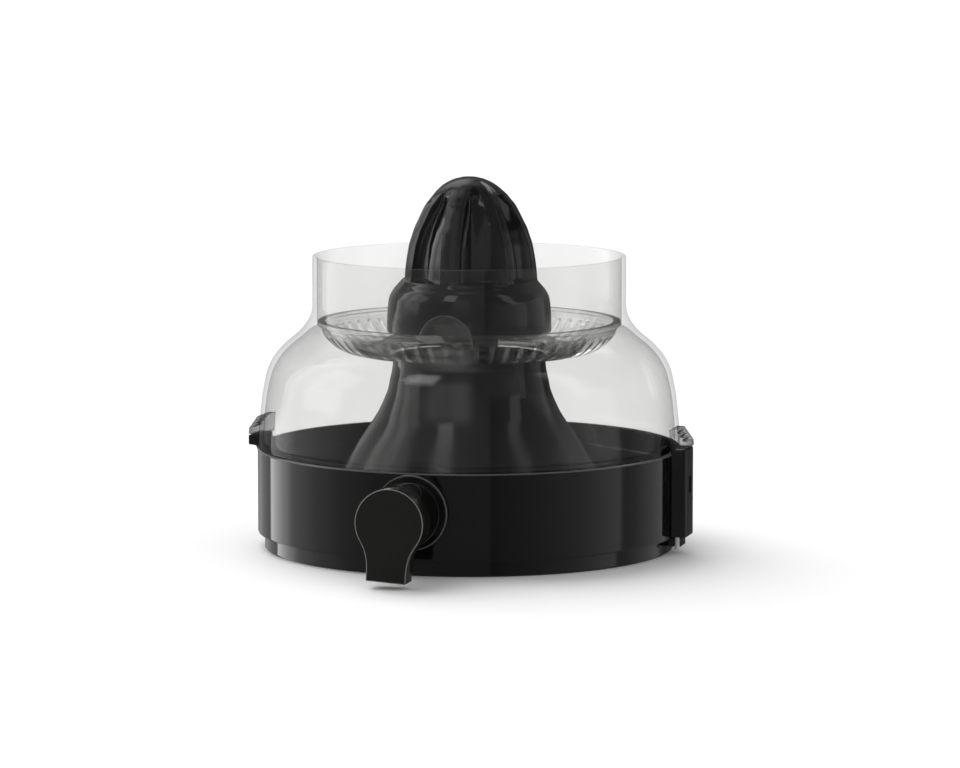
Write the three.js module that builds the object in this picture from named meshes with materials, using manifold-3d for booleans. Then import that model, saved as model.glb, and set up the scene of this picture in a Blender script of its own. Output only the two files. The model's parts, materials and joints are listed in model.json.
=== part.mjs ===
// Citrus press unit that sits on a motor base: a round juice collector with a drip-stop spout,
// a gear tower with a two-stage planetary reduction, a clear cover with a strainer in its collar,
// and a fluted reamer on the output shaft.
// Millimetres, +Z up. Origin on the drive axis at the bottom plane. The spout points to -Y.
import * as THREE from "three";
import { mergeVertices } from "three/addons/utils/BufferGeometryUtils.js";
import Module from "manifold-3d";

const wasm = await Module();
wasm.setup();

// ---- driving dimensions ----
const GAP = 0.3; // clearance between touching pieces
const SEG = 32; // facets of the large round parts

const DRUM_R = 101.6, DRUM_WALL = 2.4, DRUM_Z0 = 7.7, DRUM_Z1 = 48.4;
const FLOOR_Z0 = 18.0, FLOOR_Z1 = 20.4, COVER_SEAT_Z = 37.6, FLOOR_HOLE_R = 66;
const PLINTH_R = 98.3, PLINTH_Z1 = 15.2;

const SPOUT_Z = 30.2, SPOUT_BORE_R = 10.2, STUB_R = 12.6, STUB_Y = 128.0;
const FLANGE_R = 17.6, FLANGE_Y = 103.6;
const BARREL_R = 15.4, LEVER_R = 16.1, LEVER_FRONT_Y = 139.2, LEVER_T = 11.0, LEVER_TURN = -3.5; // degrees the tail stands off straight down, towards -X
const TAIL_Z = 3.2, TAIL_HALF_W = 9.4, OUTLET_R = 6.2, OUTLET_Y = 117.6;

const LUG_R = 108.7, LUG_HALF_W = 8.5, LUG_Z0 = 51.2, LUG_Z1 = 60.2;
const BRACKET_Z0 = 8.9, BRACKET_Z1 = 50.7, ROD_X = 103.8, ROD_Y = -5.3;

const TOWER_TOP_Z = 92.6, TOWER_TOP_R = 36.6, NECK_R = 13.8, NECK_Z1 = 104.0;

const COLLAR_R = 75.1, COLLAR_IN_R = 73.0, COVER_TOP_Z = 140.1;
const LEDGE_R = 71.4, LEDGE_Z = 106.9;

const STRAINER_R = 72.6, STRAINER_HOLE_R = 40.3, SLOTS = 60, SLOT_W = 2.4;
const TAB_R = 12.9, TAB_Y0 = 40.9, TAB_T = 2.5, TAB_Z = 102.4; // finger tab on the strainer's inner ring, over the spout

const SKIRT_R = 39.4, SKIRT_Z0 = 103.7, APEX_Z = 177.9, FLUTES = 7;
const RIB_HALF_W = 4.5, RIB_DROP = 0.9, FLUTE_DEPTH = 5.2, FLUTE_Z0 = 128.6, FLUTE_Z1 = 170.6, FLUTE_AZ = -66.9; // degrees

// two-stage planetary reduction, the same teeth in both stages
const MODULE = 1.6, SUN_T = 9, PLANET_T = 12, RING_T = 33, PRESSURE = 25;
const CENTRES = (MODULE * (SUN_T + PLANET_T)) / 2;
const STAGE1_Z0 = 52.0, STAGE1_Z1 = 60.0, CARRIER1_Z1 = 63.4;
const STAGE2_Z0 = 64.2, STAGE2_Z1 = 72.2, CARRIER2_Z1 = 76.2;
const SHAFT_R = 7.4, SHAFT_TOP_Z = 104.6, DRIVE_TOP_Z = 146.0, DRIVE_R = 6.4;
const PIN_R = 2.4;

// ---- helpers ----
function solid(geometry) {
  const g = geometry.index ? geometry.toNonIndexed() : geometry.clone();
  g.deleteAttribute("normal");
  g.deleteAttribute("uv");
  const m = mergeVertices(g, 1e-4);
  const tri = new Uint32Array(m.index.array);
  const make = () =>
    new wasm.Manifold(
      new wasm.Mesh({ numProp: 3, vertProperties: new Float32Array(m.attributes.position.array), triVerts: tri }),
    );
  let s = make();
  if (s.volume() < 0) {
    for (let i = 0; i < tri.length; i += 3) [tri[i + 1], tri[i + 2]] = [tri[i + 2], tri[i + 1]];
    s = make();
  }
  return s;
}
function geometryOf(s) {
  const m = s.getMesh();
  const g = new THREE.BufferGeometry();
  const n = m.numProp;
  const pos = new Float32Array((m.vertProperties.length / n) * 3);
  for (let i = 0, j = 0; i < m.vertProperties.length; i += n, j += 3) {
    pos[j] = m.vertProperties[i];
    pos[j + 1] = m.vertProperties[i + 1];
    pos[j + 2] = m.vertProperties[i + 2];
  }
  g.setAttribute("position", new THREE.BufferAttribute(pos, 3));
  g.setIndex(new THREE.BufferAttribute(new Uint32Array(m.triVerts), 1));
  g.computeVertexNormals();
  return g;
}
// Turned body about Z from a closed [r, z] loop, or from one that starts and ends on the axis.
function turned(points, segments = SEG, phase = 0) {
  const p = points.map(([r, z]) => new THREE.Vector2(r, z));
  if (points[0][0] > 0) p.push(p[0].clone());
  const g = new THREE.LatheGeometry(p, segments, phase);
  g.rotateX(Math.PI / 2);
  return solid(g);
}
function cylinderZ(r, z0, z1, segments = 24, x = 0, y = 0) {
  const g = new THREE.CylinderGeometry(r, r, z1 - z0, segments);
  g.rotateX(Math.PI / 2);
  g.translate(x, y, (z0 + z1) / 2);
  return solid(g);
}
function cylinderY(r, y0, y1, z, segments = 32, x = 0) {
  const g = new THREE.CylinderGeometry(r, r, y1 - y0, segments);
  g.translate(x, (y0 + y1) / 2, z);
  return solid(g);
}
function box(x0, x1, y0, y1, z0, z1) {
  const g = new THREE.BoxGeometry(x1 - x0, y1 - y0, z1 - z0);
  g.translate((x0 + x1) / 2, (y0 + y1) / 2, (z0 + z1) / 2);
  return solid(g);
}
function plate(shape, z0, z1, curveSegments = 16) {
  const g = new THREE.ExtrudeGeometry(shape, { depth: z1 - z0, bevelEnabled: false, curveSegments });
  g.translate(0, 0, z0);
  return solid(g);
}
const turnZ = (s, deg) => s.rotate([0, 0, deg]);
// A radial profile drawn as [r, z] on the +X side, running along Y.
function radialProfile(pts, halfWidth) {
  const g = new THREE.ExtrudeGeometry(shapeOf(pts), { depth: 2 * halfWidth, bevelEnabled: false });
  g.rotateX(Math.PI / 2);
  g.translate(0, halfWidth, 0);
  return solid(g);
}
const shapeOf = (pts) => new THREE.Shape(pts.map(([x, y]) => new THREE.Vector2(x, y)));

const group = new THREE.Group();
const materials = {
  gloss_black: new THREE.MeshStandardMaterial({ color: 0x141416, roughness: 0.22, metalness: 0 }),
  satin_black: new THREE.MeshStandardMaterial({ color: 0x1b1b1e, roughness: 0.4, metalness: 0 }),
  clear: new THREE.MeshStandardMaterial({ color: 0xe8eaec, roughness: 0.05, metalness: 0, transparent: true, opacity: 0.35 }),
  steel: new THREE.MeshStandardMaterial({ color: 0xb6b8ba, roughness: 0.3, metalness: 1 }),
  gear: new THREE.MeshStandardMaterial({ color: 0xe6e2d6, roughness: 0.45, metalness: 0 }),
  bronze: new THREE.MeshStandardMaterial({ color: 0xa7793b, roughness: 0.4, metalness: 1 }),
  rubber: new THREE.MeshStandardMaterial({ color: 0x3a3b3d, roughness: 0.8, metalness: 0 }),
  white: new THREE.MeshStandardMaterial({ color: 0xdedfe0, roughness: 0.35, metalness: 0 }),
};
function piece(name, s, material) {
  const mesh = new THREE.Mesh(geometryOf(s), materials[material]);
  mesh.name = name;
  group.add(mesh);
  return mesh;
}

// ---- juice collector: outer wall, floor, spout stub, catch for the left lug ----
{
  let s = turned([
    [FLOOR_HOLE_R, FLOOR_Z0], [DRUM_R - 2.8, FLOOR_Z0], [DRUM_R - 2.8, DRUM_Z0 + 0.3], [DRUM_R - 2.5, DRUM_Z0],
    [DRUM_R - 0.6, DRUM_Z0], [DRUM_R, DRUM_Z0 + 0.6], [DRUM_R, DRUM_Z1 - 0.5], [DRUM_R - 0.4, DRUM_Z1],
    [DRUM_R - DRUM_WALL, DRUM_Z1], [DRUM_R - DRUM_WALL, COVER_SEAT_Z], [97.2, COVER_SEAT_Z],
    [97.2, 24.0], [94.0, FLOOR_Z1], [FLOOR_HOLE_R, FLOOR_Z1],
  ], SEG);
  // catch below the left lug of the cover
  let hook = radialProfile([[98.5, 42.4], [101.4, 42.4], [104.0, 43.3], [105.0, 45.7], [LUG_R, 46.2], [LUG_R, 50.7], [98.5, 50.7]], LUG_HALF_W);
  hook = turnZ(hook, 180).subtract(cylinderZ(99.8, 30, 60, SEG)).subtract(cylinderZ(DRUM_R + 0.1, DRUM_Z1, 60, SEG));
  s = s.add(hook);
  // screw posts under the floor for the plinth
  for (let i = 0; i < 3; i++) {
    const a = ((30 + 120 * i) * Math.PI) / 180;
    s = s.add(cylinderZ(3.8, 3.6, FLOOR_Z0 + 0.5, 12, 90 * Math.cos(a), 90 * Math.sin(a)));
    s = s.subtract(cylinderZ(1.55, 2, 15.5, 8, 90 * Math.cos(a), 90 * Math.sin(a)));
  }
  // spout stub, with its outlet on the underside, and the flange behind the lever barrel
  const stub = cylinderY(STUB_R, -STUB_Y, -95, SPOUT_Z, 24).add(cylinderY(FLANGE_R, -FLANGE_Y, -95, SPOUT_Z, 32));
  s = s.add(stub.subtract(cylinderZ(99.2, 0, 60, SEG)));
  s = s.subtract(cylinderY(SPOUT_BORE_R, -130, -90, SPOUT_Z, 20)).subtract(cylinderZ(OUTLET_R, 12, SPOUT_Z, 16, 0, -OUTLET_Y));
  // groove for the spout seal
  s = s.subtract(cylinderY(STUB_R + 1, -108.4, -106.6, SPOUT_Z, 24).subtract(cylinderY(11.5, -109, -106, SPOUT_Z, 24)));
  piece("juice_collector", s, "gloss_black");
}

// ---- plinth ring, screwed on from below ----
{
  let s = turned([
    [84, 0], [PLINTH_R - 0.6, 0], [PLINTH_R, 0.6], [PLINTH_R, PLINTH_Z1], [PLINTH_R - 2.2, PLINTH_Z1],
    [PLINTH_R - 2.2, 3.3], [84, 3.3],
  ], SEG);
  for (let i = 0; i < 3; i++) {
    const a = ((30 + 120 * i) * Math.PI) / 180, x = 90 * Math.cos(a), y = 90 * Math.sin(a);
    s = s.subtract(cylinderZ(1.7, -1, 5, 8, x, y)).subtract(cylinderZ(3.2, -1, 1.8, 12, x, y));
  }
  piece("plinth_ring", s, "gloss_black");
}

// ---- screws: head down, shank up ----
function screw(name, x, y, z, shank, headR = 2.8, r = 1.2) {
  const s = turned([[0, z], [headR, z], [headR, z + 1.2], [r, z + 1.4], [r, z + shank - 0.8], [0, z + shank]], 8);
  const slot = box(-2.0, 2.0, -0.35, 0.35, z - 1, z + 0.6);
  piece(name, s.subtract(slot).translate([x, y, 0]), "steel");
}
for (let i = 0; i < 3; i++) {
  const a = ((30 + 120 * i) * Math.PI) / 180;
  screw("plinth_screw_" + (i + 1), 90 * Math.cos(a), 90 * Math.sin(a), 0.35, 14);
}

// ---- gear tower: flared shell with a neck for the output shaft ----
const towerOuter = [
  [78.0, 20.8], [78.0, 22.2], [75.4, 22.5], [70.2, 26.8], [64.6, 33.6], [57.1, 44.2], [50.2, 54.9], [43.9, 64.5],
  [40.3, 72.3], [38.2, 80.0], [36.8, 87.0], [TOWER_TOP_R, TOWER_TOP_Z - 0.6], [TOWER_TOP_R - 0.6, TOWER_TOP_Z],
];
{
  const inner = [
    [34.2, 89.4], [34.3, 86.0], [35.8, 79.4], [37.8, 71.6], [41.6, 63.2], [47.9, 53.6], [54.8, 42.8], [62.2, 32.2], [63.0, 18.2],
  ];
  let s = turned([
    ...towerOuter, [NECK_R + 1.4, TOWER_TOP_Z], [NECK_R, TOWER_TOP_Z + 1.4], [NECK_R, NECK_Z1], [10.8, NECK_Z1], [10.8, 88.0], [13.6, 88.0], [13.6, 89.4],
    ...inner, [65.4, 18.2], [65.4, 20.8],
  ], SEG);
  // seat of the gasket
  s = s.subtract(turned([[70.7, 20], [73.0, 20], [73.0, 21.9], [70.7, 21.9]], SEG));
  for (let i = 0; i < 3; i++) {
    const a = ((90 + 120 * i) * Math.PI) / 180, x = 56 * Math.cos(a), y = 56 * Math.sin(a);
    s = s.add(cylinderZ(3.8, 18.2, 38.0, 12, x, y)).subtract(cylinderZ(1.55, 17, 31, 8, x, y));
    const b = ((30 + 120 * i) * Math.PI) / 180, u = 42 * Math.cos(b), v = 42 * Math.sin(b);
    s = s.add(cylinderZ(3.6, 54.2, 60.4, 12, u, v)).subtract(cylinderZ(1.55, 53, 58.9, 8, u, v));
  }
  piece("gear_tower", s, "gloss_black");
}
piece("tower_gasket", solid(new THREE.TorusGeometry(72, 0.6, 4, 36)).translate([0, 0, 21.2]), "rubber");

// ---- base plate that clamps the tower to the floor, with the lower bush ----
{
  let s = turned([
    [6.6, 9.0], [10.0, 9.0], [10.0, 14.4], [15.0, 15.2], [71.5, 15.2], [71.5, 17.6], [62.4, 17.6], [60, 17.6], [10.0, 17.6], [10.0, 21.0], [6.6, 21.0],
  ], SEG);
  for (let i = 0; i < 3; i++) {
    const a = ((90 + 120 * i) * Math.PI) / 180;
    s = s.subtract(cylinderZ(1.7, 10, 20, 8, 56 * Math.cos(a), 56 * Math.sin(a)));
  }
  piece("tower_base_plate", s, "satin_black");
  for (let i = 0; i < 3; i++) {
    const a = ((90 + 120 * i) * Math.PI) / 180;
    screw("tower_screw_" + (i + 1), 56 * Math.cos(a), 56 * Math.sin(a), 13.5, 16);
  }
}

// ---- gearing ----
// Involute tooth outline as a list of points, for an external gear or for the space of a ring gear.
function gearOutline(teeth, tip, root, slack, phase) {
  const alpha = (PRESSURE * Math.PI) / 180, rp = (MODULE * teeth) / 2, rb = rp * Math.cos(alpha);
  const inv = (a) => Math.tan(a) - a;
  const half = (r) => {
    const a = Math.acos(Math.min(1, rb / Math.max(r, rb)));
    return Math.PI / (2 * teeth) + inv(alpha) - inv(a) + slack / rp;
  };
  const pts = [];
  for (let k = 0; k < teeth; k++) {
    const c = phase + (2 * Math.PI * k) / teeth;
    const mid = rp;
    for (const [r, sgn] of [[root, -1], [mid, -1], [tip, -1], [tip, 1], [mid, 1], [root, 1]]) {
      const a = c + sgn * half(r);
      pts.push([r * Math.cos(a), r * Math.sin(a)]);
    }
  }
  return pts;
}
const ADD = 0.8 * MODULE, DED = 1.05 * MODULE;
function pinion(teeth, z0, z1, phaseDeg, boreR) {
  const rp = (MODULE * teeth) / 2;
  const shape = shapeOf(gearOutline(teeth, rp + ADD, rp - DED, -0.12, (phaseDeg * Math.PI) / 180));
  let s = plate(shape, z0, z1);
  if (boreR) s = s.subtract(cylinderZ(boreR, z0 - 1, z1 + 1, 12));
  return s;
}
{
  const rp = (MODULE * RING_T) / 2;
  // the ring's teeth are what the spaces leave: a space is centred half a pitch from a tooth
  const space = shapeOf(gearOutline(RING_T, rp + DED, rp - ADD, 0.12, Math.PI / RING_T));
  let s = turned([
    [20, 50.6], [46.2, 50.6], [46.2, 53.6], [31.4, 53.6], [31.2, 86.0], [20, 86.0],
  ], SEG);
  s = s.subtract(plate(space, 49, 75.4)).subtract(cylinderZ(27.6, 74.5, 88, 32));
  for (let i = 0; i < 3; i++) {
    const b = ((30 + 120 * i) * Math.PI) / 180;
    s = s.subtract(cylinderZ(1.7, 49, 55, 8, 42 * Math.cos(b), 42 * Math.sin(b)));
  }
  piece("ring_gear", s, "gear");
}
{
  let s = turned([
    [6.6, 40.0], [10.0, 40.0], [10.0, 46.4], [46.2, 46.4], [46.2, 50.2], [6.6, 50.2],
  ], 32);
  for (let i = 0; i < 3; i++) {
    const b = ((30 + 120 * i) * Math.PI) / 180;
    s = s.subtract(cylinderZ(1.7, 45, 52, 8, 42 * Math.cos(b), 42 * Math.sin(b)));
  }
  piece("gearbox_lid", s, "gear");
  for (let i = 0; i < 3; i++) {
    const b = ((30 + 120 * i) * Math.PI) / 180;
    screw("gearbox_screw_" + (i + 1), 42 * Math.cos(b), 42 * Math.sin(b), 44.7, 13.6);
  }
}
const planetAngles = [0, 120, 240];
function at(s, deg) {
  const a = (deg * Math.PI) / 180;
  return s.translate([CENTRES * Math.cos(a), CENTRES * Math.sin(a), 0]);
}
planetAngles.forEach((deg, i) => {
  piece("planet_gear_1" + "abc"[i], at(pinion(PLANET_T, STAGE1_Z0, STAGE1_Z1, 15, PIN_R + GAP), deg), "gear");
  piece("planet_gear_2" + "abc"[i], at(pinion(PLANET_T, STAGE2_Z0, STAGE2_Z1, 15, PIN_R + GAP), deg), "gear");
});
// input shaft with the first sun, and the drive coupling at its foot
{
  let s = pinion(SUN_T, STAGE1_Z0, STAGE1_Z1, 0).add(cylinderZ(4.0, 6.0, STAGE1_Z0 + 0.5, 16));
  piece("input_sun_shaft", s, "steel");
  let c = turned([[0, 1.0], [7.4, 1.0], [8.4, 2.0], [8.4, 5.6], [0, 5.6]], 18);
  for (let i = 0; i < 6; i++) c = c.add(turnZ(box(7.0, 12.4, -1.7, 1.7, 1.0, 5.6), 60 * i));
  c = c.add(turned([[0, 5.0], [13.0, 5.0], [13.0, 8.2], [0, 8.2]], 24));
  c = c.subtract(cylinderZ(4.0 + GAP, 5.7, 12, 16));
  piece("drive_coupling", c, "satin_black");
}
// carriers: a plate with three pins each, the first with the second sun on top
{
  let s = cylinderZ(22.4, STAGE1_Z1 + 0.5, CARRIER1_Z1, 30).add(pinion(SUN_T, CARRIER1_Z1 - 0.4, STAGE2_Z1, 0));
  planetAngles.forEach((deg) => (s = s.subtract(at(cylinderZ(PIN_R + GAP, 55, 70, 12), deg))));
  piece("carrier_1", s, "gear");
  let c = cylinderZ(22.4, STAGE2_Z1 + 0.5, CARRIER2_Z1, 30).subtract(cylinderZ(5.2 + GAP, 70, 80, 6));
  planetAngles.forEach((deg) => (c = c.subtract(at(cylinderZ(PIN_R + GAP, 70, 80, 12), deg))));
  piece("carrier_2", c, "gear");
  planetAngles.forEach((deg, i) => {
    piece("planet_pin_1" + "abc"[i], at(cylinderZ(PIN_R, STAGE1_Z0 - 0.3, CARRIER1_Z1 - 0.2, 12), deg), "steel");
    piece("planet_pin_2" + "abc"[i], at(cylinderZ(PIN_R, STAGE2_Z0 - 0.3, CARRIER2_Z1 - 0.2, 12), deg), "steel");
  });
}
// output shaft: hexagonal root in the second carrier, round journal, hexagonal drive end
{
  let s = cylinderZ(5.2, STAGE2_Z1 + 0.8, CARRIER2_Z1 + 0.5, 6).add(cylinderZ(10.2, CARRIER2_Z1 + GAP, 86.0, 20));
  s = s.add(cylinderZ(SHAFT_R, 85.5, SHAFT_TOP_Z, 20)).add(cylinderZ(DRIVE_R, SHAFT_TOP_Z - 0.5, DRIVE_TOP_Z - 1, 6));
  s = s.add(turned([[0, DRIVE_TOP_Z - 1.5], [DRIVE_R * 0.86, DRIVE_TOP_Z - 1.5], [DRIVE_R * 0.7, DRIVE_TOP_Z], [0, DRIVE_TOP_Z]], 12));
  piece("output_shaft", s, "steel");
}
piece("output_bush", turned([[SHAFT_R + GAP, 86.4], [13.2, 86.4], [13.2, 87.6], [10.5, 87.6], [10.5, 99.0], [SHAFT_R + GAP, 99.0]], 20), "bronze");
piece("shaft_seal", turned([[SHAFT_R + GAP, 99.4], [10.5, 99.4], [10.5, 103.6], [8.8, 103.6], [8.2, 101.0], [SHAFT_R + GAP, 102.6]], 20), "rubber");
piece("input_bush_upper", turned([[4.0 + GAP, 40.6], [6.3, 40.6], [6.3, 50.8], [4.0 + GAP, 50.8]], 16), "bronze");
piece("input_bush_lower", turned([[4.0 + GAP, 9.4], [6.3, 9.4], [6.3, 20.6], [4.0 + GAP, 20.6]], 16), "bronze");

// ---- clear cover: skirt inside the collector's rim, shouldered dome, collar, two lugs ----
{
  let s = turned([
    [96.8, 38.0], [98.7, 38.0], [98.7, 48.9], [100.9, 48.9], [101.3, 49.3], [101.1, 55.0], [100.0, 66.5], [98.4, 78.1], [96.6, 85.8],
    [94.8, 89.7], [92.2, 93.6], [88.6, 97.4], [84.0, 101.3], [80.2, 105.1], [77.3, 109.0], [75.6, 112.8], [COLLAR_R, 116.0],
    [COLLAR_R, COVER_TOP_Z - 0.4], [COLLAR_R - 0.4, COVER_TOP_Z], [COLLAR_IN_R + 0.4, COVER_TOP_Z], [COLLAR_IN_R, COVER_TOP_Z - 0.4],
    [COLLAR_IN_R, LEDGE_Z], [LEDGE_R, LEDGE_Z], [LEDGE_R, LEDGE_Z - 1.7], [77.0, 104.4], [82.0, 99.6], [86.8, 95.6], [90.1, 92.0], [92.6, 88.3],
    [94.4, 84.8], [96.2, 77.5], [97.8, 66.2], [99.0, 53.0], [98.6, 51.4], [96.8, 49.8],
  ], SEG);
  // the outer slope is smooth at the sides and has grip steps across its middle
  let lug = radialProfile([[99.5, LUG_Z0], [LUG_R, LUG_Z0], [LUG_R - 0.2, 54.0], [104.3, LUG_Z1 - 0.4], [103.9, LUG_Z1], [99.5, LUG_Z1]], LUG_HALF_W);
  for (const z of [54.4, 56.2, 58.0]) lug = lug.subtract(radialProfile([[LUG_R - 2.2 - (z - 54) * 0.73, z], [LUG_R + 1, z], [LUG_R + 1, z + 0.9], [LUG_R - 1.9 - (z - 53.1) * 0.73, z + 0.9]], 5));
  s = s.add(lug).add(turnZ(lug, 180));
  piece("clear_cover", s, "clear");
}

// ---- strainer: slotted dish hung in the collar, open in the middle round the reamer's skirt ----
{
  let s = turned([
    [STRAINER_HOLE_R, 92.4], [52.0, 93.2], [58.0, 94.2], [62.5, 95.9], [66.2, 98.4], [69.8, 102.4], [70.6, 107.2], [STRAINER_R, 107.2], [STRAINER_R, 109.0],
    [69.0, 109.0], [68.0, 103.0], [64.9, 99.7], [61.5, 97.5], [57.4, 95.9], [42.0, 94.5], [42.0, 99.5], [STRAINER_HOLE_R, 99.5],
  ], SLOTS / 2, Math.PI / SLOTS);
  const cut = box(59.6, 69.9, -SLOT_W / 2, SLOT_W / 2, 92, 104.2);
  const cuts = [];
  for (let i = 0; i < SLOTS; i++) cuts.push(turnZ(cut, (360 * i) / SLOTS));
  s = s.subtract(wasm.Manifold.union(cuts));
  const tab = cylinderY(TAB_R, -TAB_Y0 - TAB_T, -TAB_Y0, TAB_Z, 28).intersect(box(-20, 20, -60, -30, 93.6, 130));
  s = s.add(tab);
  piece("strainer", s, "clear");
}

// ---- reamer: ogive cone with seven scooped flutes between roof-shaped ribs, on a round skirt, hollow below ----
{
  const profile = [
    [SKIRT_R, SKIRT_Z0], [SKIRT_R, 110.4], [38.8, 117.6], [38.2, 120.5], [37.2, 122.4], [36.0, 124.3], [34.3, 126.2], [32.8, FLUTE_Z0],
    [32.65, FLUTE_Z0 + 1.9], [32.3, 134.2], [31.8, 138.0], [31.1, 142.1], [29.9, 147.8], [28.6, 151.7], [26.9, 155.5], [25.0, 159.4], [22.9, 163.2],
    [20.2, 167.0], [18.8, 168.8], [17.0, FLUTE_Z1], [14.4, 172.8], [10.8, 175.3], [6.0, 177.0],
  ];
  // the ribs keep one width all the way up, so the flutes narrow with the cone and close near its top
  const halfAt = (r) => Math.max(2, 180 / FLUTES - ((RIB_HALF_W / r) * 180) / Math.PI);
  const depthAt = (z, r) => {
    if (z <= FLUTE_Z0 || z >= FLUTE_Z1) return 0;
    const full = Math.min(FLUTE_DEPTH, (0.8 * r * halfAt(r) * Math.PI) / 180);
    return full * (z < 163 ? 1 : Math.sqrt(1 - Math.pow((z - 163) / (FLUTE_Z1 - 163), 2)));
  };
  const dropAt = (z) => (z <= 127 ? 0 : RIB_DROP * Math.min(1, (z - 127) / 3.4, (APEX_Z - z) / 9));
  const pitch = 360 / FLUTES, across = [-1, -0.9, -0.5, 0, 0.5, 0.9, 1], columns = FLUTES * (across.length + 1);
  const v = [];
  for (const [r, z] of profile) {
    for (let k = 0; k < FLUTES; k++) {
      const mid = FLUTE_AZ + k * pitch, h = halfAt(r), d = depthAt(z, r), drop = dropAt(z);
      for (const u of [...across, null]) {
        const a = ((u === null ? mid + pitch / 2 : mid + u * h) * Math.PI) / 180;
        const rr = u === null ? r : r - drop - d * Math.pow(1 - u * u, 0.6);
        v.push(rr * Math.cos(a), rr * Math.sin(a), z);
      }
    }
  }
  const rings = profile.length, faces = [];
  for (let i = 0; i < rings - 1; i++)
    for (let j = 0; j < columns; j++) {
      const a = i * columns + j, b = i * columns + ((j + 1) % columns);
      faces.push(a, b, b + columns, a, b + columns, a + columns);
    }
  const low = rings * columns, top = low + 1;
  v.push(0, 0, SKIRT_Z0, 0, 0, APEX_Z);
  for (let j = 0; j < columns; j++) {
    const n = (j + 1) % columns;
    faces.push(low, n, j, top, (rings - 1) * columns + j, (rings - 1) * columns + n);
  }
  const g = new THREE.BufferGeometry();
  g.setAttribute("position", new THREE.BufferAttribute(new Float32Array(v), 3));
  g.setIndex(faces);
  let s = solid(g);
  s = s.subtract(turned([[0, 100], [37.0, 100], [37.0, 117.0], [34.0, 121.4], [26.0, 124.6], [23.0, 128.0], [20.0, 140.0], [15.0, 152.0], [8.0, 161.0], [0, 163.0]], 28));
  s = s.add(turned([[10.8, 107.0], [13.6, 107.0], [13.6, 156.0], [10.8, 159.5]], 20));
  piece("reamer", s, "gloss_black");
}
{
  let s = cylinderZ(10.5, 106.0, 149.0, 24).subtract(cylinderZ(DRIVE_R + 0.35, 104, DRIVE_TOP_Z + GAP, 6));
  piece("reamer_hub", s, "white");
}

// ---- drip stop: a barrel that turns on the stub, with a keyhole-shaped lever face ----
{
  const k = new THREE.Shape();
  const a0 = -0.56; // where the round head leaves for the tail, radians below the horizontal
  const tip = TAIL_Z - SPOUT_Z;
  k.moveTo(TAIL_HALF_W, tip);
  k.bezierCurveTo(TAIL_HALF_W, tip + 9.5, TAIL_HALF_W + 0.3, tip + 12.5, LEVER_R * Math.cos(a0), LEVER_R * Math.sin(a0));
  k.absarc(0, 0, LEVER_R, a0, Math.PI - a0, false);
  k.bezierCurveTo(-TAIL_HALF_W - 0.3, tip + 12.5, -TAIL_HALF_W, tip + 9.5, -TAIL_HALF_W, tip);
  k.closePath();
  const turnedBy = (LEVER_TURN * Math.PI) / 180;
  const turnedOutline = shapeOf(k.getPoints(12).map((q) => [q.x * Math.cos(turnedBy) - q.y * Math.sin(turnedBy), q.x * Math.sin(turnedBy) + q.y * Math.cos(turnedBy)]));
  const g = new THREE.ExtrudeGeometry(turnedOutline, { depth: LEVER_T, bevelEnabled: false, curveSegments: 12 });
  g.rotateX(Math.PI / 2);
  g.translate(0, -LEVER_FRONT_Y + LEVER_T, SPOUT_Z);
  let s = solid(g);
  s = s.add(cylinderY(BARREL_R, -LEVER_FRONT_Y + 2, -FLANGE_Y - 0.4, SPOUT_Z, 30));
  s = s.subtract(cylinderY(STUB_R + 0.4, -STUB_Y - 0.4, -90, SPOUT_Z, 24));
  s = s.subtract(cylinderZ(OUTLET_R + 0.4, 12, SPOUT_Z, 16, 0, -OUTLET_Y));
  piece("spout_lever", s, "gloss_black");
  const o = new THREE.TorusGeometry(12.2, 0.55, 5, 24);
  o.rotateX(Math.PI / 2);
  o.translate(0, -107.5, SPOUT_Z);
  piece("spout_seal", solid(o), "rubber");
}

// ---- interlock: bracket on the collector's right side, push rod and return spring ----
{
  const c = 2.2, w = LUG_HALF_W, out = shapeOf([[95, -w], [LUG_R - c, -w], [LUG_R - 0.6, -w + 0.6], [LUG_R, -w + c], [LUG_R, w - c], [LUG_R - 0.6, w - 0.6], [LUG_R - c, w], [95, w]]);
  let s = plate(out, BRACKET_Z0, BRACKET_Z1).subtract(cylinderZ(DRUM_R + GAP, 0, 60, SEG));
  let foot = box(95, 105.0, -3.0, 7.6, 3.6, BRACKET_Z0 + 0.5).subtract(cylinderZ(PLINTH_R + GAP, 0, 20, SEG)).subtract(cylinderZ(DRUM_R + GAP, 7.4, 20, SEG));
  s = s.add(foot);
  s = s.subtract(box(90, 107.1, -7.3, 7.3, 12.6, 60)).subtract(box(100, 110, -1.9, 1.9, 29.5, 37.5)).subtract(cylinderZ(1.4, 5, 14, 10, ROD_X, ROD_Y));
  piece("interlock_bracket", s, "gloss_black");
  piece("interlock_rod", box(102.4, 106.6, -6.9, 6.9, 20.4, 50.3).add(cylinderZ(1.1, 2.9, 21.0, 10, ROD_X, ROD_Y)), "white");
  class Coil extends THREE.Curve {
    getPoint(t) {
      const a = t * 2 * Math.PI * 4;
      return new THREE.Vector3(ROD_X + 1.58 * Math.cos(a), ROD_Y + 1.58 * Math.sin(a), 13.2 + 6.6 * t);
    }
  }
  const wire = shapeOf([0, 1, 2, 3, 4].map((k) => [0.2 * Math.cos((k * 2 * Math.PI) / 5), 0.2 * Math.sin((k * 2 * Math.PI) / 5)]));
  piece("interlock_spring", solid(new THREE.ExtrudeGeometry(wire, { steps: 28, extrudePath: new Coil(), bevelEnabled: false })), "steel");
}

export default group;
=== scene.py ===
import json
import math

import bmesh
import bpy
import numpy as np
from mathutils import Matrix, Vector


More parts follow.
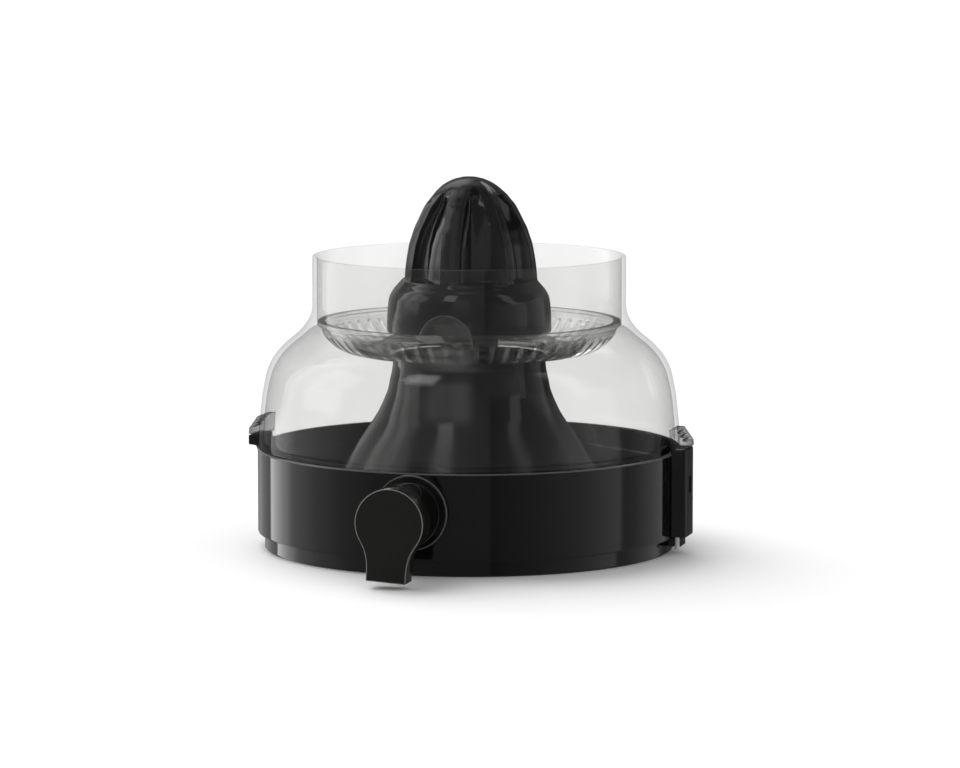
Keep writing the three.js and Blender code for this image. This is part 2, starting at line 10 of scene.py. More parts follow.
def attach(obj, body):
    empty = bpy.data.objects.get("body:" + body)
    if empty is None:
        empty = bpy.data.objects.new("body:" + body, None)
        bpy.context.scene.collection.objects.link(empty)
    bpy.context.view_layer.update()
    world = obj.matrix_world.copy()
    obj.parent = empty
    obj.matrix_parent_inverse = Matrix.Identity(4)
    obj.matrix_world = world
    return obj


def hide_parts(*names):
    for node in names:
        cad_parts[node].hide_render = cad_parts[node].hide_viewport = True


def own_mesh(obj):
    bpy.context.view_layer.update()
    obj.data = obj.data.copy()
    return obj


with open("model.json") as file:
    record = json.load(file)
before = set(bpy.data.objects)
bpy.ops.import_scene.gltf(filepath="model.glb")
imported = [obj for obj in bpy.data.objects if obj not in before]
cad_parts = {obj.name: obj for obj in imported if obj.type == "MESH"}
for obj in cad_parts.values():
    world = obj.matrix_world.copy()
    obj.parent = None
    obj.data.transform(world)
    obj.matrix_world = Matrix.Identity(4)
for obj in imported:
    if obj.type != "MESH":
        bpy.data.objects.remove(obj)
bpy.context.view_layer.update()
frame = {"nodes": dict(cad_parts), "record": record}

MM = 0.001
rad = math.radians
scene = bpy.context.scene
scene.view_settings.view_transform = "Standard"

# ------------------------------------------------------------------ helpers


def link(name, verts, faces, smooth_angle=35.0, flip=False):
    me = bpy.data.meshes.new(name)
    me.from_pydata([tuple(v) for v in verts], [], faces)
    bm = bmesh.new()
    bm.from_mesh(me)
    bmesh.ops.remove_doubles(bm, verts=bm.verts, dist=1e-7)
    bmesh.ops.recalc_face_normals(bm, faces=bm.faces)
    bm.to_mesh(me)
    bm.free()
    ob = bpy.data.objects.new(name, me)
    scene.collection.objects.link(ob)
    shade(ob, smooth_angle)
    return ob


def shade(ob, angle):
    for p in ob.data.polygons:
        p.use_smooth = True
    ob.data.set_sharp_from_angle(angle=rad(angle))


def fine(points, step=1.5):
    """Catmull-Rom through the points, by chord length, so that a measured profile turns smooth."""
    p = np.array(points, float)
    out = [p[0]]
    for i in range(len(p) - 1):
        a = p[max(i - 1, 0)]
        b, c = p[i], p[i + 1]
        d = p[min(i + 2, len(p) - 1)]
        n = max(1, int(np.linalg.norm(c - b) / step))
        lb = np.linalg.norm(c - b)
        mb = (c - a) * lb / max(np.linalg.norm(c - b) + np.linalg.norm(b - a), 1e-9)
        mc = (d - b) * lb / max(np.linalg.norm(d - c) + np.linalg.norm(c - b), 1e-9)
        if i == 0:
            mb = c - b
        if i == len(p) - 2:
            mc = c - b
        for k in range(1, n + 1):
            t = k / n
            out.append((2 * t**3 - 3 * t**2 + 1) * b + (t**3 - 2 * t**2 + t) * mb + (-2 * t**3 + 3 * t**2) * c + (t**3 - t**2) * mc)
    return [tuple(q) for q in out]


def lathe(name, loop, seg=160, axis="Z", angle=35.0, at=(0, 0, 0)):
    """Turned solid from a closed [r, z] loop in mm. A loop whose ends are on the axis closes there."""
    on_axis = abs(loop[0][0]) < 1e-9 and abs(loop[-1][0]) < 1e-9
    held = []
    for i, (r, z) in enumerate(loop):
        held.append((r, z))
        r2, z2 = loop[(i + 1) % len(loop)]
        run = math.hypot(r2 - r, z2 - z)
        if run > 4 and r > 0 and r2 > 0 and not (on_axis and i == len(loop) - 1):
            # points close to the ends of a long straight run keep the shading bend at the corner
            held += [(r + (r2 - r) * t, z + (z2 - z) * t) for t in (0.3 / run, 1 - 0.3 / run)]
    loop = held
    verts, index = [], []
    for r, z in loop:
        if abs(r) < 1e-9:
            index.append([len(verts)] * seg)
            verts.append((0, 0, z * MM))
        else:
            row = []
            for j in range(seg):
                a = 2 * math.pi * j / seg
                row.append(len(verts))
                verts.append((r * math.cos(a) * MM, r * math.sin(a) * MM, z * MM))
            index.append(row)
    faces = []
    n = len(loop)
    for i in range(n - 1 if on_axis else n):
        a, b = index[i], index[(i + 1) % n]
        for j in range(seg):
            k = (j + 1) % seg
            f = []
            for v in (a[j], a[k], b[k], b[j]):
                if v not in f:
                    f.append(v)
            if len(f) > 2:
                faces.append(f)
    if axis == "-Y":
        verts = [(x, -z, y) for x, y, z in verts]
    verts = [(x + at[0] * MM, y + at[1] * MM, z + at[2] * MM) for x, y, z in verts]
    return link(name, verts, faces, angle)


def prism(name, outline, lo, hi, axis="Z", bevel=0.0, angle=35.0, at=(0, 0, 0)):
    """Extruded outline in mm. axis Z: outline is x, y. axis -Y: outline is x, z. axis Y: outline is x, z between lo and hi."""
    n = len(outline)
    verts = []
    for h in (lo, hi):
        for u, v in outline:
            p = (u, v, h) if axis == "Z" else (u, h, v)
            verts.append(tuple((p[i] + at[i]) * MM for i in range(3)))
    faces = [list(range(n))[::-1], list(range(n, 2 * n))] + [[i, (i + 1) % n, (i + 1) % n + n, i + n] for i in range(n)]
    ob = link(name, verts, faces, angle)
    if bevel:
        m = ob.modifiers.new("bevel", "BEVEL")
        m.width, m.segments, m.limit_method, m.angle_limit = bevel * MM, 3, "ANGLE", rad(38)
        bake(ob, angle)
    return ob


def bake(ob, angle=35.0):
    dg = bpy.context.evaluated_depsgraph_get()
    dg.update()
    me = bpy.data.meshes.new_from_object(ob.evaluated_get(dg))
    ob.modifiers.clear()
    ob.data = me
    shade(ob, angle)
    return ob


def cut(ob, *tools, op="DIFFERENCE", angle=35.0):
    for t in tools:
        m = ob.modifiers.new("b", "BOOLEAN")
        m.operation, m.object, m.solver = op, t, "EXACT"
    bake(ob, angle)
    for t in tools:
        bpy.data.objects.remove(t)
    return ob


def spun_boxes(name, x0, x1, half, z0, z1, count):
    verts, faces = [], []
    for i in range(count):
        a = 2 * math.pi * i / count
        c, s = math.cos(a), math.sin(a)
        base = len(verts)
        for x, y, z in [(x0, -half, z0), (x1, -half, z0), (x1, half, z0), (x0, half, z0), (x0, -half, z1), (x1, -half, z1), (x1, half, z1), (x0, half, z1)]:
            verts.append(((x * c - y * s) * MM, (x * s + y * c) * MM, z * MM))
        for f in [(0, 3, 2, 1), (4, 5, 6, 7), (0, 1, 5, 4), (1, 2, 6, 5), (2, 3, 7, 6), (3, 0, 4, 7)]:
            faces.append([base + v for v in f])
    return link(name, verts, faces)


# ------------------------------------------------------------------ materials


def plastic(name, color, rough, bump=0.03, grain=1800.0, coat=0.0, spec=0.5, spread=0.06):
    """Moulded plastic: fine surface grain, slow waviness from moulding, and handling marks that change the gloss."""
    m = bpy.data.materials.new(name)
    m.use_nodes = True
    nt = m.node_tree
    b = nt.nodes["Principled BSDF"]
    tc = nt.nodes.new("ShaderNodeTexCoord")
    fine_n = nt.nodes.new("ShaderNodeTexNoise")
    fine_n.inputs["Scale"].default_value = grain
    fine_n.inputs["Detail"].default_value = 2
    slow = nt.nodes.new("ShaderNodeTexNoise")
    slow.inputs["Scale"].default_value = 26
    slow.inputs["Detail"].default_value = 4
    ramp = nt.nodes.new("ShaderNodeMapRange")
    ramp.inputs["From Min"].default_value, ramp.inputs["From Max"].default_value = 0.3, 0.7
    ramp.inputs["To Min"].default_value, ramp.inputs["To Max"].default_value = rough - spread / 2, rough + spread / 2
    tint = nt.nodes.new("ShaderNodeValToRGB")
    tint.color_ramp.elements[0].color = (*[c * 0.85 for c in color], 1)
    tint.color_ramp.elements[1].color = (*[min(1, c * 1.15) for c in color], 1)
    bm = nt.nodes.new("ShaderNodeBump")
    bm.inputs["Strength"].default_value = bump
    bm.inputs["Distance"].default_value = 0.0002
    for n in (fine_n, slow):
        nt.links.new(tc.outputs["Object"], n.inputs["Vector"])
    nt.links.new(slow.outputs["Fac"], ramp.inputs["Value"])
    nt.links.new(slow.outputs["Fac"], tint.inputs["Fac"])
    nt.links.new(ramp.outputs["Result"], b.inputs["Roughness"])
    nt.links.new(tint.outputs["Color"], b.inputs["Base Color"])
    nt.links.new(fine_n.outputs["Fac"], bm.inputs["Height"])
    nt.links.new(bm.outputs["Normal"], b.inputs["Normal"])
    b.inputs["Specular IOR Level"].default_value = spec
    b.inputs["Coat Weight"].default_value = coat
    return m


def metal(name, color, rough):
    m = plastic(name, color, rough, bump=0.08, grain=3000, spread=0.1)
    m.node_tree.nodes["Principled BSDF"].inputs["Metallic"].default_value = 1.0
    return m


def clear(name, tint, edge, rough=0.02, bump=0.02, wave=22.0, f0=0.04, mirror=0.25, bend=0.0, falloff=4):
    """Thin clear plastic: it passes light straight through with a tint that deepens at a glancing angle, partly the
    longer path through the wall and partly painted shade for the dark outlines that refraction draws along its edges,
    and mirrors the room more the shallower the angle. Moulding leaves slow waves in it."""
    m = bpy.data.materials.new(name)
    m.use_nodes = True
    nt = m.node_tree
    b = nt.nodes["Principled BSDF"]
    out = nt.nodes["Material Output"]
    b.inputs["Metallic"].default_value = 1.0
    tc = nt.nodes.new("ShaderNodeTexCoord")
    n = nt.nodes.new("ShaderNodeTexNoise")
    n.inputs["Scale"].default_value = wave
    n.inputs["Detail"].default_value = 3
    r = nt.nodes.new("ShaderNodeMapRange")
    r.inputs["To Min"].default_value, r.inputs["To Max"].default_value = rough * 0.4, rough * 1.8
    mixc = nt.nodes.new("ShaderNodeMix")
    mixc.data_type = "RGBA"
    mixc.inputs["A"].default_value = (0.93, 0.93, 0.92, 1)
    mixc.inputs["B"].default_value = (1, 1, 1, 1)
    bm = nt.nodes.new("ShaderNodeBump")
    bm.inputs["Strength"].default_value = bump
    bm.inputs["Distance"].default_value = 0.001
    lw = nt.nodes.new("ShaderNodeLayerWeight")
    lw.inputs["Blend"].default_value = 0.5
    tr = nt.nodes.new("ShaderNodeBsdfTransparent")
    p = nt.nodes.new("ShaderNodeMath")
    p.operation = "POWER"
    p.inputs[1].default_value = 5
    f = nt.nodes.new("ShaderNodeMath")
    f.operation = "MULTIPLY_ADD"
    f.use_clamp = True
    f.inputs[1].default_value, f.inputs[2].default_value = mirror, f0
    e = nt.nodes.new("ShaderNodeMath")
    e.operation = "POWER"
    e.inputs[1].default_value = falloff
    # the see-through colour goes from tint to edge towards the silhouette: partly longer path, partly painted shade
    col = nt.nodes.new("ShaderNodeMix")
    col.data_type = "RGBA"
    col.inputs["A"].default_value = (*tint, 1)
    col.inputs["B"].default_value = (*edge, 1)
    mix = nt.nodes.new("ShaderNodeMixShader")
    L = nt.links.new
    L(tc.outputs["Object"], n.inputs["Vector"])
    L(n.outputs["Fac"], r.inputs["Value"])
    L(n.outputs["Fac"], mixc.inputs["Factor"])
    L(mixc.outputs["Result"], b.inputs["Base Color"])
    L(r.outputs["Result"], b.inputs["Roughness"])
    L(n.outputs["Fac"], bm.inputs["Height"])
    L(bm.outputs["Normal"], b.inputs["Normal"])
    L(lw.outputs["Facing"], p.inputs[0])
    L(p.outputs[0], f.inputs[0])
    L(lw.outputs["Facing"], e.inputs[0])
    L(e.outputs[0], col.inputs["Factor"])
    L(col.outputs["Result"], tr.inputs["Color"])
    L(f.outputs[0], mix.inputs[0])
    if bend:
        g = nt.nodes.new("ShaderNodeBsdfPrincipled")
        g.inputs["Transmission Weight"].default_value = 1.0
        g.inputs["IOR"].default_value = 1.45
        g.inputs["Roughness"].default_value = 0.02
        g.inputs["Base Color"].default_value = (0.96, 0.96, 0.96, 1)
        k = nt.nodes.new("ShaderNodeMapRange")
        k.inputs["From Min"].default_value, k.inputs["From Max"].default_value = 0.3, 0.9
        k.inputs["To Min"].default_value, k.inputs["To Max"].default_value = 0.06, bend
        part = nt.nodes.new("ShaderNodeMixShader")
        L(bm.outputs["Normal"], g.inputs["Normal"])
        L(lw.outputs["Facing"], k.inputs["Value"])
        L(k.outputs["Result"], part.inputs[0])
        L(tr.outputs[0], part.inputs[1])
        L(g.outputs[0], part.inputs[2])
        L(part.outputs[0], mix.inputs[1])
    else:
        L(tr.outputs[0], mix.inputs[1])
    L(b.outputs[0], mix.inputs[2])
    L(mix.outputs[0], out.inputs["Surface"])
    return m


MAT = {
    "gloss_black": plastic("gloss_black_plastic", (0.0056, 0.0054, 0.0058), 0.05, spread=0.03),
    "cone_black": plastic("cone_black_plastic", (0.0060, 0.0060, 0.0062), 0.075, spread=0.03),
    "tower_black": plastic("tower_black_plastic", (0.0070, 0.0068, 0.0072), 0.075, spread=0.03),
    "lever_black": plastic("lever_black_plastic", (0.0090, 0.0087, 0.0074), 0.10, spread=0.03),
    "barrel_black": plastic("barrel_black_plastic", (0.0030, 0.0030, 0.0028), 0.035, bump=0.01, spread=0.02),
    # lighter grey for the lever's front bevels: a painted highlight outline along its edges
    "edge_highlight": plastic("black_edge_painted_highlight", (0.19, 0.185, 0.175), 0.22),
    # lighter grey for the outer bevel of the drum rim and the spout flange: a painted highlight line
    "rim_highlight": plastic("black_rim_painted_highlight", (0.085, 0.083, 0.085), 0.15),
    # much deeper tint for the solid lugs: partly the thick plastic, partly painted shade for the dark look refraction
    # gives them
    "thick_clear_shaded": clear("thick_clear_plastic_painted_dark", (0.60, 0.60, 0.605), (0.16, 0.16, 0.165), rough=0.03, bump=0.2, wave=140.0, f0=0.06, mirror=0.6),
    "satin_black": plastic("satin_black_plastic", (0.03, 0.03, 0.031), 0.45, bump=0.12),
    "clear": clear("clear_plastic", (0.945, 0.944, 0.940), (0.79, 0.79, 0.79), mirror=0.10, falloff=3),
    "clear_edge": clear("clear_plastic_edge", (0.90, 0.90, 0.90), (0.70, 0.70, 0.70), f0=0.5, mirror=0.4),
    # a little lighter than the cone: painted sheen on the rib lands
    "rib_highlight": plastic("black_rib_painted_highlight", (0.0150, 0.0149, 0.0151), 0.11, spread=0.04),
    "clear_strainer": clear("clear_strainer_plastic", (0.92, 0.92, 0.915), (0.60, 0.60, 0.60), rough=0.03, bump=0.5, wave=210.0, f0=0.07, mirror=0.45, bend=0.80),
    "steel": metal("turned_steel", (0.62, 0.63, 0.64), 0.28),
    "bronze": metal("sintered_bronze", (0.55, 0.37, 0.17), 0.42),
    "gear": plastic("acetal_gear", (0.78, 0.75, 0.66), 0.42, bump=0.06),
    "rubber": plastic("seal_rubber", (0.05, 0.05, 0.052), 0.75, bump=0.2),
    "white": plastic("white_plastic", (0.72, 0.72, 0.71), 0.35),
}


def satin_below(m, z0, z1, rough):
    """The gloss fades to satin from one height down to another, as on a foot that is wiped often."""
    nt = m.node_tree
    b = nt.nodes["Principled BSDF"]
    old = b.inputs["Roughness"].links[0].from_socket
    tc = nt.nodes.new("ShaderNodeTexCoord")
    xyz = nt.nodes.new("ShaderNodeSeparateXYZ")
    fade = nt.nodes.new("ShaderNodeMapRange")
    fade.inputs["From Min"].default_value, fade.inputs["From Max"].default_value = z0, z1
    fade.inputs["To Min"].default_value, fade.inputs["To Max"].default_value = rough, 0.0
    top = nt.nodes.new("ShaderNodeMath")
    top.operation = "MAXIMUM"
    nt.links.new(tc.outputs["Object"], xyz.inputs[0])
    nt.links.new(xyz.outputs["Z"], fade.inputs["Value"])
    nt.links.new(fade.outputs["Result"], top.inputs[0])
    nt.links.new(old, top.inputs[1])
    nt.links.new(top.outputs[0], b.inputs["Roughness"])


satin_below(MAT["tower_black"], 0.050, 0.075, 0.19)


def own(ob, slot, body, *nodes, mat=None):
    ob.data.materials.clear()
    ob.data.materials.append(MAT[mat or slot])
    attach(ob, body)
    if nodes:
        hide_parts(*nodes)
    return ob


def edge_faces(ob, mat, test):
    """Give chosen faces of a piece, mostly small rounded edges, a second material of their own; on the black pieces it
    is a lighter grey, a painted highlight along those edges.
    """
    ob.data.materials.append(MAT[mat])
    for p in ob.data.polygons:
        if test(p.normal, p.center):
            p.material_index = 1


record = frame["record"]
slot_of = {s["node"]: s["material_slot"] for s in record["subparts"]}
for name, ob in frame["nodes"].items():
    ob.data.materials.clear()
    ob.data.materials.append(MAT[slot_of[name]])
    shade(ob, 32)

# ------------------------------------------------------------------ camera, as the object was seen
AZ, DIST, HEIGHT, AIM_Z, SHIFT_X, LENS = rad(15.2), 2.174, 0.339, 0.0780, 0.00516, 171.0
cam_data = bpy.data.cameras.new("camera")
cam_data.lens, cam_data.sensor_width = LENS, 36
cam = bpy.data.objects.new("camera", cam_data)
scene.collection.objects.link(cam)
cam.location = (math.sin(AZ) * DIST, -math.cos(AZ) * DIST, HEIGHT)
aim = Vector((math.cos(AZ) * SHIFT_X, math.sin(AZ) * SHIFT_X, AIM_Z))
cam.rotation_mode = "QUATERNION"
cam.rotation_quaternion = (aim - cam.location).to_track_quat("-Z", "Y")
cam_data.clip_start, cam_data.clip_end = 0.05, 60
scene.camera = cam

# ------------------------------------------------------------------ juice collector
drum_loop = [(66, 18.0), (98.8, 18.0), (98.8, 8.0), (99.1, 7.7), (101.0, 7.7), (101.4, 7.87), (101.6, 8.3)]
drum_loop += [(101.6, 47.7), (101.45, 48.15), (101.1, 48.4), (99.6, 48.4), (99.3, 48.25), (99.2, 47.9), (99.2, 37.6), (97.2, 37.6), (97.2, 24.0)]
drum_loop += [(96.6, 22.2), (95.4, 20.9), (94.0, 20.4), (66, 20.4)]
drum = lathe("collector_drum", drum_loop, 256)
bore = lathe("bore", [(0, 80), (10.2, 80), (10.2, 140), (0, 140)], 64, "-Y", at=(0, 0, 30.2))
cut(drum, bore)
own(drum, "gloss_black", "housing", "juice_collector")
# the top outer bevel of the rim gets the lighter grey, a painted highlight line
edge_faces(drum, "rim_highlight", lambda n, c: c.z > 0.0476 and n.z > 0.25 and math.hypot(c.x, c.y) > 0.1009 and n.z < 0.97)
stub_loop = [(10.2, 99.9), (17.6, 99.9), (17.6, 103.0), (17.35, 103.45), (16.9, 103.6), (12.6, 103.6), (12.6, 106.6), (11.5, 106.6), (11.5, 108.4), (12.6, 108.4), (12.6, 127.6), (12.2, 128.0), (10.2, 128.0)]
stub = lathe("collector_spout_stub", stub_loop, 96, "-Y", at=(0, 0, 30.2))
outlet = lathe("outlet", [(0, 10), (6.2, 10), (6.2, 30.2), (0, 30.2)], 48, at=(0, -117.6, 0))
cut(stub, outlet)
own(stub, "gloss_black", "housing")
# the edge of the spout flange ring gets the lighter grey, a painted highlight line
edge_faces(stub, "rim_highlight", lambda n, c: -c.y > 0.1029 and math.hypot(c.x, c.z - 0.0302) > 0.0168 and 0.1 < -n.y < 0.98)
W = 8.5
hook = prism("collector_catch", [(-100.6, 42.4), (-101.4, 42.4), (-104.0, 43.3), (-105.0, 45.7), (-108.7, 46.2), (-108.7, 50.7), (-101.75, 50.7), (-101.75, 48.4), (-100.6, 48.4)], -W, W, "Y", bevel=0.35)
own(hook, "gloss_black", "housing")
for i in range(3):
    a = rad(30 + 120 * i)
    post = lathe("collector_post_%d" % (i + 1), [(1.55, 3.6), (3.8, 3.6), (3.8, 18.2), (1.55, 15.6)], 32, at=(90 * math.cos(a), 90 * math.sin(a), 0))
    own(post, "gloss_black", "housing")

plinth = lathe("plinth_body", [(84, 0.3), (84.3, 0), (97.6, 0), (98.1, 0.2), (98.3, 0.7), (98.3, 15.2), (96.1, 15.2), (96.1, 3.3), (84.3, 3.3), (84, 3.0)], 256)
holes = []
for i in range(3):
    a = rad(30 + 120 * i)
    holes.append(lathe("h%d" % i, [(0, -1), (3.2, -1), (3.2, 1.8), (1.7, 1.8), (1.7, 5), (0, 5)], 32, at=(90 * math.cos(a), 90 * math.sin(a), 0)))
cut(plinth, *holes)
own(plinth, "gloss_black", "housing", "plinth_ring")

# ------------------------------------------------------------------ gear tower
outer = fine([(78.0, 20.8), (78.0, 22.0)], 9) + fine([(77.6, 22.4), (74.6, 23.2), (70.2, 26.8), (64.6, 33.6), (60.7, 38.9), (57.1, 44.2), (54.0, 49.1), (50.2, 54.9), (46.3, 60.7), (43.9, 64.5), (42.0, 68.4), (40.3, 72.3), (38.9, 76.1), (38.2, 80.0), (37.2, 84.2), (36.7, 88.0), (36.6, 91.6)], 1.5)
top = [(36.3, 92.3), (35.6, 92.6), (15.2, 92.6), (14.2, 93.0), (13.8, 94.0), (13.8, 103.6), (13.4, 104.0), (10.8, 104.0), (10.8, 88.0), (13.6, 88.0), (13.6, 89.4)]
inner = fine([(34.2, 89.4), (34.3, 86.0), (35.8, 79.4), (37.8, 71.6), (41.6, 63.2), (47.9, 53.6), (54.8, 42.8), (62.2, 32.2)], 3) + [(63.0, 18.2), (65.4, 18.2), (65.4, 20.8)]
tower = lathe("tower_shell", outer + top + inner, 224, angle=40)
own(tower, "gloss_black", "housing", "gear_tower", mat="tower_black")

# ------------------------------------------------------------------ clear cover
skirt = [(96.8, 38.2), (97.0, 38.0), (98.5, 38.0), (98.7, 38.2), (98.7, 48.9), (100.7, 48.9)]
wall = fine([(101.15, 49.2), (101.3, 51.0), (100.8, 58.7), (100.4, 62.6), (100.0, 66.5), (99.6, 70.3), (99.1, 74.2), (98.4, 78.0), (97.6, 81.9), (96.6, 85.8), (95.8, 87.7), (94.8, 89.7), (93.6, 91.6), (92.2, 93.6), (90.4, 95.5), (88.6, 97.4), (86.4, 99.4), (84.0, 101.3), (81.8, 103.2), (80.1, 105.1), (78.6, 107.0), (77.3, 109.0), (76.3, 110.9), (75.6, 112.8), (75.2, 114.7), (75.1, 117.0)], 1.2)
rim = [(75.1, 139.6), (74.95, 139.95), (74.6, 140.1), (73.5, 140.1), (73.15, 139.95), (73.0, 139.6), (73.0, 107.1), (72.8, 106.9), (71.6, 106.9), (71.4, 106.7), (71.4, 105.4), (71.7, 105.2)]
inside = fine([(76.2, 104.6), (78.4, 102.8), (80.4, 101.0), (82.8, 99.1), (85.0, 97.3), (87.4, 95.2), (89.4, 93.0), (91.2, 90.6), (92.8, 88.0), (94.5, 84.5), (95.5, 81.0), (96.3, 77.5), (97.1, 73.5), (97.7, 69.0), (98.2, 64.0), (98.7, 57.5), (99.0, 53.2)], 1.4) + [(98.6, 51.4), (96.8, 49.8)]
cover = lathe("cover_shell", skirt + wall + rim + inside, 256, angle=30)
prof = [(99.6, 51.2), (108.7, 51.2), (108.5, 54.0), (104.3, 59.8), (103.9, 60.2), (99.6, 60.2)]
lug_r = prism("lug_r", prof, -W, W, "Y", bevel=0.3)
steps = [prism("s", [(106.5 - (z - 54) * 0.73, z), (109.7, z), (109.7, z + 0.9), (106.8 - (z - 53.1) * 0.73, z + 0.9)], -5, 5, "Y") for z in (54.4, 56.2, 58.0)]
cut(lug_r, *steps)
lug_l = bpy.data.objects.new("lug_l", lug_r.data.copy())
scene.collection.objects.link(lug_l)
lug_l.data.transform(Matrix.Rotation(math.pi, 4, "Z"))
for side, lug in (("right", lug_r), ("left", lug_l)):
    wall_copy = bpy.data.objects.new("wall_copy", cover.data.copy())
    scene.collection.objects.link(wall_copy)
    cut(lug, wall_copy, angle=30)
    lug.name = "cover_lug_" + side
    # the solid lugs use the deeper tint, partly painted shade
    own(lug, "clear", "cover", mat="thick_clear_shaded")
own(cover, "clear", "cover", "clear_cover")

# ------------------------------------------------------------------ strainer
dish = fine([(40.5, 92.4), (46.0, 92.6), (52.0, 93.2), (58.0, 94.2), (62.5, 95.9), (66.2, 98.4), (69.8, 102.4), (70.6, 104.6)], 1.2)
dish += [(70.7, 107.0), (70.9, 107.2), (72.4, 107.2), (72.6, 107.4), (72.6, 108.8), (72.4, 109.0), (69.3, 109.0), (69.0, 108.7)]
dish += fine([(69.0, 105.4), (68.0, 103.0), (64.9, 99.7), (61.5, 97.5), (57.4, 95.9), (51.6, 94.9), (46.0, 94.6), (42.4, 94.5)], 1.2)
dish += [(42.0, 94.9), (42.0, 99.1), (41.7, 99.5), (40.6, 99.5), (40.3, 99.2), (40.3, 92.7)]
strainer = lathe("strainer_dish_body", dish, 240, angle=30)
cut(strainer, spun_boxes("slots", 59.6, 69.9, 1.2, 92.0, 104.2, 60), angle=30)
pts = [(12.9 * math.cos(2 * math.pi * k / 72), 12.9 * math.sin(2 * math.pi * k / 72) + 102.4) for k in range(72)]
pts = [(x, max(z, 94.0)) for x, z in pts]
clean = []
for q in pts:
    if not clean or abs(q[0] - clean[-1][0]) + abs(q[1] - clean[-1][1]) > 1e-4:
        clean.append(q)
flat = [q for q in clean if q[1] > 94.0 + 1e-6]
w0 = math.sqrt(12.9**2 - 8.4**2)
order = sorted(flat, key=lambda q: math.atan2(q[1] - 102.4, q[0]))
order = [q for q in order if math.atan2(q[1] - 102.4, q[0]) > -2.4]
outline = [(w0, 94.0)] + [q for q in sorted(flat, key=lambda q: (math.atan2(q[1] - 102.4, q[0]) + 0.7094) % (2 * math.pi))] + [(-w0, 94.0)]
tab = prism("tab", outline, -43.4, -40.9, "Y", bevel=0.5, angle=30)
cut(strainer, tab, op="UNION", angle=30)
own(strainer, "clear", "strainer_dish", "strainer", mat="clear_strainer")
edge_faces(strainer, "clear_edge", lambda n, c: c.y < -0.0405 and c.z > 0.0947 and 0.1 < abs(n.y) < 0.98 and abs(math.hypot(c.x, c.z - 0.1024) - 0.0126) < 0.0009)

# ------------------------------------------------------------------ reaming cone
R_LOW = fine([(39.4, 110.4), (39.1, 114.7), (38.6, 118.6), (38.2, 120.5), (37.2, 122.4), (36.0, 124.3), (34.3, 126.2), (32.8, 128.4)], 0.6)
R_UP = fine([(32.8, 128.4), (32.3, 134.2), (31.8, 138.0), (31.1, 142.1), (30.4, 145.9), (29.1, 149.8), (27.8, 153.6), (25.9, 157.4), (24.0, 161.3), (22.0, 164.9), (20.2, 167.0), (18.4, 169.2), (14.9, 172.4), (12.0, 174.5), (7.6, 176.6), (3.2, 177.7)], 0.7)
F0, F1, FAZ, FDEEP, RIB, ROOF = 128.6, 170.6, -66.9, 4.2, 4.5, 1.0


def scoop(s_mm, w, deep, steep, fil=0.6):
    """Depth of a flute at a distance from its edge: a small round edge, then a steep hollow wall or a long slanting one."""
    if deep <= 0:
        return 0.0
    fil = min(fil, deep * 0.4, w * 0.3)
    if s_mm < fil:
        return fil - math.sqrt(max(0.0, fil * fil - s_mm * s_mm))
    u = 1 - (s_mm - fil) / (w - fil)
    return fil + (deep - fil) * (max(0.0, 1 - u * u) ** 0.6 if steep else 1 - max(0.0, u) ** 1.15)


loop = [(37.0, 103.9), (37.2, 103.7), (39.2, 103.7), (39.4, 103.9)] + R_LOW + R_UP[1:]
for z_add in (128.6, 128.75, 128.95, 129.2, 129.5, 129.8, 130.1, 130.4, 130.7, 131.0, 168.4, 169.4, 170.0, 170.4, 170.6):
    for i in range(4, len(loop) - 1):
        if loop[i][1] < z_add - 0.04 and loop[i + 1][1] > z_add + 0.04:
            t = (z_add - loop[i][1]) / (loop[i + 1][1] - loop[i][1])
            loop.insert(i + 1, (loop[i][0] + t * (loop[i + 1][0] - loop[i][0]), z_add))
            break
in_flute = [0.0, 0.006, 0.014, 0.026, 0.045, 0.07, 0.1, 0.15, 0.22, 0.32, 0.46, 0.64, 0.82]
across = [("s", t) for t in in_flute] + [("s", 1.0)] + [("e", t) for t in in_flute[::-1]]
verts, rows = [], []
pitch = 360 / 7
for r, z in loop:
    h = max(2.0, 180 / 7 - math.degrees(RIB / r))
    w = r * rad(h)
    full = min(FDEEP, 0.8 * w)
    if z <= F0 or z >= F1:
        full = 0.0
    elif z > 163:
        full *= math.sqrt(1 - ((z - 163) / (F1 - 163)) ** 2)
    drop = 0.0 if z <= 127 else ROOF * min(1.0, (z - 127) / 3.4, (177.9 - z) / 9)
    shelf = max(0.0, (z - F0) * 2.5)
    row = []
    for k in range(7):
        mid = FAZ + k * pitch
        angles = []
        for side, t in across:
            wide = w * (0.7 if side == "s" else 1.3)
            d = min(shelf, scoop(t * wide, wide, full, side == "s"))
            angles.append((mid - 0.3 * h + (-0.7 * h * (1 - t) if side == "s" else 1.3 * h * (1 - t)), d + drop))
        rib = pitch - 2 * h
        for t in (0.04, 0.25, 0.47, 0.5, 0.53, 0.75, 0.96):
            angles.append((mid + h + rib * t, drop * min(1.0, abs(2 * t - 1) + 0.0)))
        for ang, dd in angles:
            a = rad(ang)
            row.append(len(verts))
            verts.append(((r - dd) * math.cos(a) * MM, (r - dd) * math.sin(a) * MM, z * MM))
    rows.append(row)
faces = []
n = len(rows[0])
for i in range(len(rows) - 1):
    for j in range(n):
        k = (j + 1) % n
        faces.append([rows[i][j], rows[i][k], rows[i + 1][k], rows[i + 1][j]])
apex = len(verts)
verts.append((0, 0, 177.9 * MM))
for j in range(n):
    faces.append([rows[-1][j], rows[-1][(j + 1) % n], apex])
